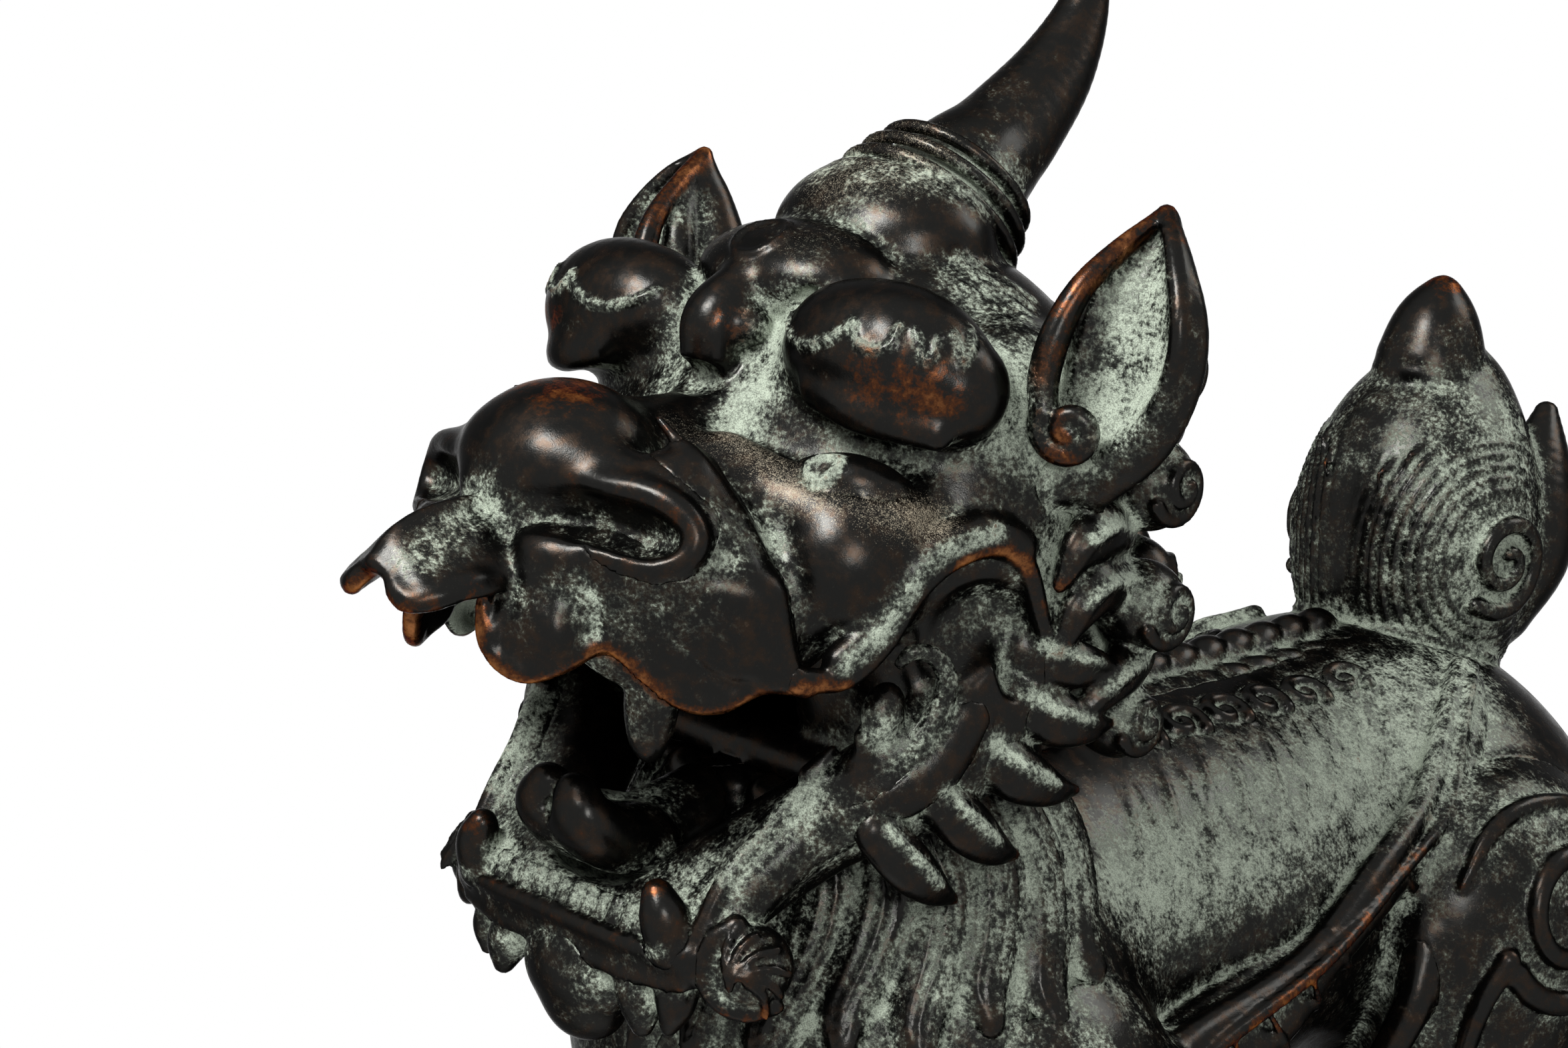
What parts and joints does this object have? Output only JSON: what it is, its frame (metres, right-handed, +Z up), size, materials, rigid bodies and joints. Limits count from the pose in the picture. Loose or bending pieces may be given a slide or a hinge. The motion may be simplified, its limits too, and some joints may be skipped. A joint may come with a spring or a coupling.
{
  "type": "foo dog statue",
  "caption": "Cast bronze guardian lion with a horn, a ruffled open mouth, a curled mane and a flame tail; the hollow head tips back on a hinge so that incense can go into the body.",
  "frame": {"origin": "on the floor under the middle of the animal's bounding box", "axes": "+Z up, the animal faces -Y, +X is its left side"},
  "size_m": [0.1244, 0.2576, 0.2389],
  "materials": {
    "bronze_dark": "dark brown patina, satin, rubbed brighter on the high places",
    "bronze_green": "pale green verdigris in the grooves, matt",
    "bronze_worn": "rubbed copper-brown edges, glossy"
  },
  "bodies": {
    "body": {"torso_shell": "bronze_dark", "neck_ring": "bronze_dark", "hair_ruff": "bronze_green", "spine_crest": "bronze_green", "left_wing": "bronze_dark", "right_wing": "bronze_dark", "front_left_leg": "bronze_dark", "front_right_leg": "bronze_dark", "rear_left_leg": "bronze_dark", "rear_right_leg": "bronze_dark", "tail": "bronze_dark", "hinge_leaf_body": "bronze_dark", "hinge_pin": "bronze_worn"},
    "head": {"head_shell": "bronze_dark", "lower_jaw": "bronze_dark", "lip_frill": "bronze_worn", "tongue": "bronze_dark", "upper_fangs": "bronze_worn", "lower_teeth": "bronze_worn", "beard": "bronze_green", "left_ear": "bronze_dark", "right_ear": "bronze_dark", "horn": "bronze_dark", "left_mane": "bronze_dark", "right_mane": "bronze_dark", "nape_mane": "bronze_dark", "hinge_leaf_head": "bronze_dark"}
  },
  "joints": [
    {"name": "head_hinge", "type": "hinge", "parent": "body", "child": "head", "pos_m": [0, -0.00335, 0.1228], "axis": [-1, 0, 0], "range_deg": [0, 45]}
  ]
}
